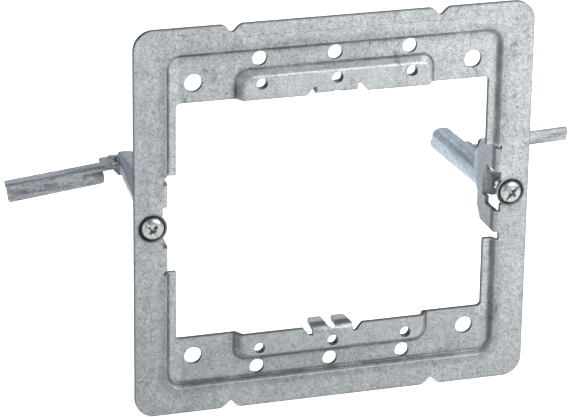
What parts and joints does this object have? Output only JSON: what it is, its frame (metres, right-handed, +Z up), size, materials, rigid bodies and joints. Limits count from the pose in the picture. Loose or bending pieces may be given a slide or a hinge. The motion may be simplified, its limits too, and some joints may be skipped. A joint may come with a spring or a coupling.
{
  "type": "old work box extension ring",
  "caption": "Stamped square mounting ring with a device opening, pads with screw holes, rear channel legs and screw-driven swing arms that clamp it to a finished wall.",
  "frame": {"origin": "centre of the opening, in the plane of the raised pads' front faces, which device straps rest on", "axes": "+X to the right seen from the room, +Y back into the wall, +Z up"},
  "size_m": [0.1792, 0.0596, 0.1204],
  "materials": {
    "ring_steel": "satin galvanised",
    "screw_zinc": "bright zinc",
    "arm_steel": "satin galvanised"
  },
  "bodies": {
    "ring": {"ring": "ring_steel"},
    "screw_right": {"screw_right": "screw_zinc"},
    "screw_left": {"screw_left": "screw_zinc"},
    "arm_right": {"arm_right": "arm_steel"},
    "arm_left": {"arm_left": "arm_steel"}
  },
  "joints": [
    {"name": "arm_right_travel", "type": "slide", "parent": "ring", "child": "arm_right", "axis": [0.0297, -0.9993, 0.0209], "range_m": [-0.00635, 0.03096]},
    {"name": "screw_right_turn", "type": "hinge", "parent": "ring", "child": "screw_right", "pos_m": [0.05546, 0.01069, -0.00005], "axis": [-0.0297, 0.9993, -0.0209], "range_deg": [-2881, 14041]},
    {"name": "arm_left_travel", "type": "slide", "parent": "ring", "child": "arm_left", "axis": [-0.0871, -0.996, -0.0209], "range_m": [-0.00079, 0.03731]},
    {"name": "screw_left_turn", "type": "hinge", "parent": "ring", "child": "screw_left", "pos_m": [-0.05497, 0.01085, 0.00005], "axis": [0.0871, 0.996, 0.0209], "range_deg": [-361, 16921]}
  ],
  "couplings": [
    {"joint": "screw_right_turn", "follows": "arm_right_travel", "rad_per_m": 7915.8},
    {"joint": "screw_left_turn", "follows": "arm_left_travel", "rad_per_m": 7915.8}
  ]
}
